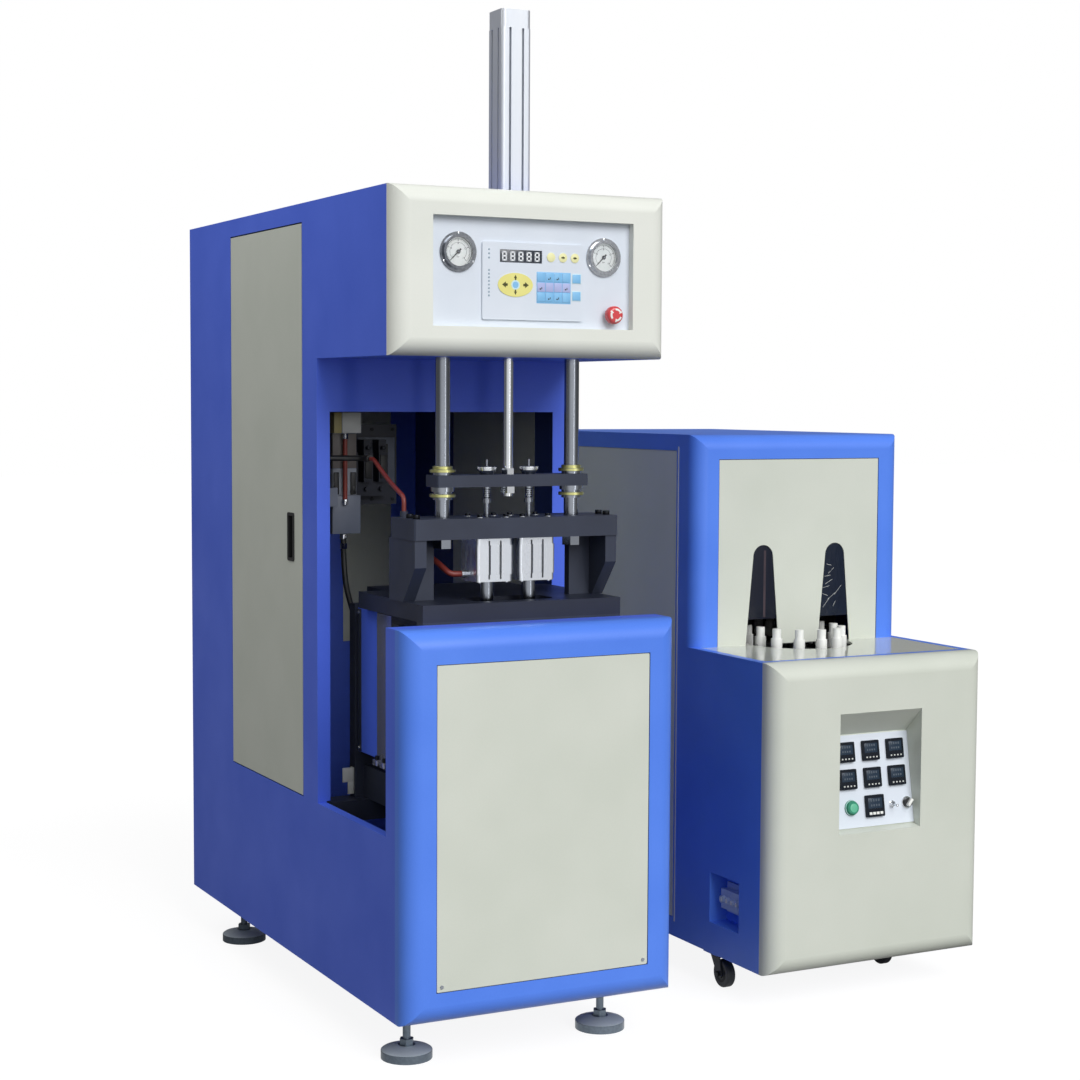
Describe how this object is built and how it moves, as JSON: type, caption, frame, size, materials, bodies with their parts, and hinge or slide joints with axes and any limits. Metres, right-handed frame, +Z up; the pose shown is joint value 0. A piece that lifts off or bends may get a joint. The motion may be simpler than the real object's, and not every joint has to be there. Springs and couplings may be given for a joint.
{
  "type": "blow moulding machine",
  "caption": "Semi-automatic bottle blow moulding machine: tall cabinet with a control head, stretch cylinder, blow nozzles and mould clamp, and its preform heater with an oval chain track.",
  "frame": {"origin": "on the floor, at the centre of the footprint of both cabinets", "axes": "+Z up, +X to the operator's right, +Y away from the operator"},
  "size_m": [1.453, 1.319, 2.085],
  "materials": {
    "blue_paint": "smooth powder coat",
    "cream_paint": "smooth powder coat",
    "panel_white": "satin coat",
    "dark_steel": "matt grey coat",
    "bright_steel": "ground",
    "chrome": "polished",
    "aluminium": "anodised",
    "brass": "turned",
    "black_plastic": "moulded",
    "dark_blue_plastic": "moulded",
    "red_plastic": "moulded",
    "green_plastic": "moulded",
    "white_plastic": "turned",
    "grey_plastic": "moulded",
    "glass": "clear",
    "red_hose": "extruded",
    "castor_rubber": "moulded",
    "lamp_metal": "polished"
  },
  "bodies": {
    "root": {"air_hoses": "red_hose", "bay_table": "dark_steel", "blow_cylinders": "aluminium", "bridge_legs": "dark_steel", "bridge_plate": "dark_steel", "cabinet_shell": "blue_paint", "cabinet_side_panel": "cream_paint", "carrier_chain": "black_plastic", "clamp_cylinder": "aluminium", "clamp_frame": "dark_steel", "control_plate": "panel_white", "cover_frame": "blue_paint", "cover_panel": "cream_paint", "filter_units": "grey_plastic", "gauge_cases": "chrome", "gauge_lenses": "glass", "guide_columns": "bright_steel", "head_beam": "dark_steel", "head_frame": "cream_paint", "head_panel": "panel_white", "heater_deck": "cream_paint", "heater_front_cover": "cream_paint", "heater_shell": "blue_paint", "heater_side_panel": "cream_paint", "keypad_unit": "panel_white", "lamp_racks": "lamp_metal", "levelling_feet": "chrome", "mould_front": "aluminium", "panel_screws": "bright_steel", "power_socket": "grey_plastic", "preform_holders": "white_plastic", "stretch_cylinder": "aluminium", "temperature_controllers": "dark_blue_plastic", "tower_frame": "blue_paint", "tower_panel": "cream_paint", "valve_bank": "grey_plastic"},
    "carriage": {"carriage_plate": "dark_steel", "carriage_bushes": "brass", "stretch_rods": "bright_steel", "piston_rod": "chrome"},
    "nozzle_left": {"blow_nozzle_left": "bright_steel"},
    "nozzle_right": {"blow_nozzle_right": "bright_steel"},
    "clamp": {"moving_platen": "blue_paint", "mould_rear": "aluminium"},
    "door": {"cabinet_door": "cream_paint", "door_handle": "black_plastic"},
    "needle_left": {"gauge_needle_left": "black_plastic"},
    "needle_right": {"gauge_needle_right": "black_plastic"},
    "stop": {"stop_button": "red_plastic"},
    "start": {"start_button": "green_plastic"},
    "selector": {"selector_knob": "black_plastic"},
    "toggle": {"toggle_switch": "chrome"},
    "castor_front_left": {"castor_fork_front_left": "castor_rubber"},
    "wheel_front_left": {"castor_wheel_front_left": "castor_rubber"},
    "castor_front_right": {"castor_fork_front_right": "castor_rubber"},
    "wheel_front_right": {"castor_wheel_front_right": "castor_rubber"},
    "castor_back_left": {"castor_fork_back_left": "castor_rubber"},
    "wheel_back_left": {"castor_wheel_back_left": "castor_rubber"},
    "castor_back_right": {"castor_fork_back_right": "castor_rubber"},
    "wheel_back_right": {"castor_wheel_back_right": "castor_rubber"}
  },
  "joints": [
    {"name": "carriage_slide", "type": "slide", "parent": "root", "child": "carriage", "axis": [0, 0, 1], "range_m": [-0.033, 0.2]},
    {"name": "nozzle_left_slide", "type": "slide", "parent": "root", "child": "nozzle_left", "axis": [0, 0, -1], "range_m": [0, 0.0265]},
    {"name": "nozzle_right_slide", "type": "slide", "parent": "root", "child": "nozzle_right", "axis": [0, 0, -1], "range_m": [0, 0.0265]},
    {"name": "clamp_slide", "type": "slide", "parent": "root", "child": "clamp", "axis": [0, -1, 0], "range_m": [0, 0.1295]},
    {"name": "door_hinge", "type": "hinge", "parent": "root", "child": "door", "pos_m": [-0.7145, 0.3405, 1.0775], "axis": [0, 0, -1], "range_deg": [0, 100]},
    {"name": "needle_left_turn", "type": "hinge", "parent": "root", "child": "needle_left", "pos_m": [-0.584, -0.5885, 1.6], "axis": [0, 1, 0], "range_deg": [0, 270], "stiffness_Nm_per_rad": 0.001},
    {"name": "needle_right_turn", "type": "hinge", "parent": "root", "child": "needle_right", "pos_m": [-0.265, -0.5885, 1.6], "axis": [0, 1, 0], "range_deg": [0, 270], "stiffness_Nm_per_rad": 0.001},
    {"name": "stop_press", "type": "slide", "parent": "root", "child": "stop", "axis": [0, 1, 0], "range_m": [0, 0.005], "stiffness_N_per_m": 800},
    {"name": "start_press", "type": "slide", "parent": "root", "child": "start", "axis": [0, 0.9872, -0.1597], "range_m": [0, 0.003], "stiffness_N_per_m": 600},
    {"name": "selector_turn", "type": "hinge", "parent": "root", "child": "selector", "pos_m": [0.536, -0.55309, 0.42721], "axis": [0, -0.9872, 0.1597], "range_deg": [-90, 0]},
    {"name": "toggle_tilt", "type": "hinge", "parent": "root", "child": "toggle", "pos_m": [0.4955, -0.55457, 0.42745], "axis": [1, 0, 0], "range_deg": [-24, 0]},
    {"name": "castor_swivel_front_left", "type": "hinge", "parent": "root", "child": "castor_front_left", "pos_m": [0.1915, -0.3305, 0.07], "axis": [0, 0, 1], "continuous": true},
    {"name": "castor_roll_front_left", "type": "hinge", "parent": "castor_front_left", "child": "wheel_front_left", "pos_m": [0.1915, -0.3485, 0.0315], "axis": [1, 0, 0], "continuous": true},
    {"name": "castor_swivel_front_right", "type": "hinge", "parent": "root", "child": "castor_front_right", "pos_m": [0.6265, -0.3305, 0.07], "axis": [0, 0, 1], "continuous": true},
    {"name": "castor_roll_front_right", "type": "hinge", "parent": "castor_front_right", "child": "wheel_front_right", "pos_m": [0.6265, -0.3485, 0.0315], "axis": [1, 0, 0], "continuous": true},
    {"name": "castor_swivel_back_left", "type": "hinge", "parent": "root", "child": "castor_back_left", "pos_m": [0.1915, 0.4565, 0.07], "axis": [0, 0, 1], "continuous": true},
    {"name": "castor_roll_back_left", "type": "hinge", "parent": "castor_back_left", "child": "wheel_back_left", "pos_m": [0.1915, 0.4385, 0.0315], "axis": [1, 0, 0], "continuous": true},
    {"name": "castor_swivel_back_right", "type": "hinge", "parent": "root", "child": "castor_back_right", "pos_m": [0.6265, 0.4565, 0.07], "axis": [0, 0, 1], "continuous": true},
    {"name": "castor_roll_back_right", "type": "hinge", "parent": "castor_back_right", "child": "wheel_back_right", "pos_m": [0.6265, 0.4385, 0.0315], "axis": [1, 0, 0], "continuous": true}
  ],
  "couplings": [
    {"joint": "nozzle_right_slide", "follows": "nozzle_left_slide", "ratio": 1}
  ]
}
